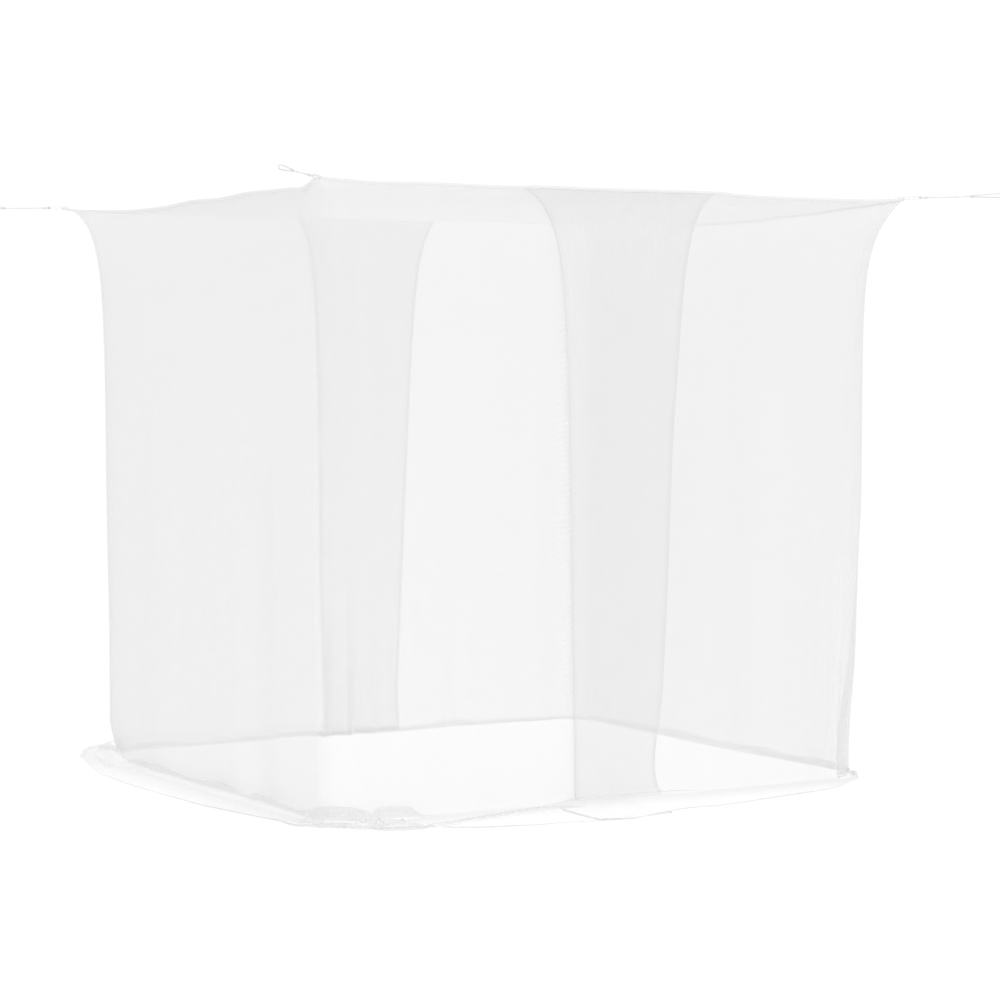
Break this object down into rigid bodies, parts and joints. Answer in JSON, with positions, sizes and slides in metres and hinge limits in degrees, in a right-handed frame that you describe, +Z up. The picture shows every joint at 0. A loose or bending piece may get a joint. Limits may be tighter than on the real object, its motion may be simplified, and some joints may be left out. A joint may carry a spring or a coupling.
{
  "type": "mosquito net canopy",
  "caption": "Box-shaped mosquito net of sheer white mesh, hung by cords at its roof corners, with overlapping wall cloths as doorways and a hem that trails on the floor.",
  "frame": {"origin": "on the floor, under the middle of the net's outline", "axes": "+Z up, +X along the roof's longer sides, +Y from the front doorway to the back one"},
  "size_m": [2.6919, 2.5669, 1.9629],
  "materials": {
    "net": "fine white mesh",
    "tape": "woven white tape",
    "cord": "braided white cord"
  },
  "bodies": {
    "root": {"roof_panel": "net", "wall_cloth_left": "net", "wall_cloth_right": "net", "edge_tape_front": "tape", "edge_tape_right": "tape", "edge_tape_back": "tape", "edge_tape_left": "tape", "corner_tab_front_left": "tape", "corner_tab_front_right": "tape", "corner_tab_back_right": "tape", "corner_tab_back_left": "tape", "cord_hitch_front_left": "cord", "cord_run_front_left": "cord", "cord_loop_front_left": "cord", "cord_hitch_front_right": "cord", "cord_run_front_right": "cord", "cord_loop_front_right": "cord", "cord_hitch_back_right": "cord", "cord_run_back_right": "cord", "cord_loop_back_right": "cord", "cord_hitch_back_left": "cord", "cord_run_back_left": "cord", "cord_loop_back_left": "cord"}
  },
  "joints": []
}
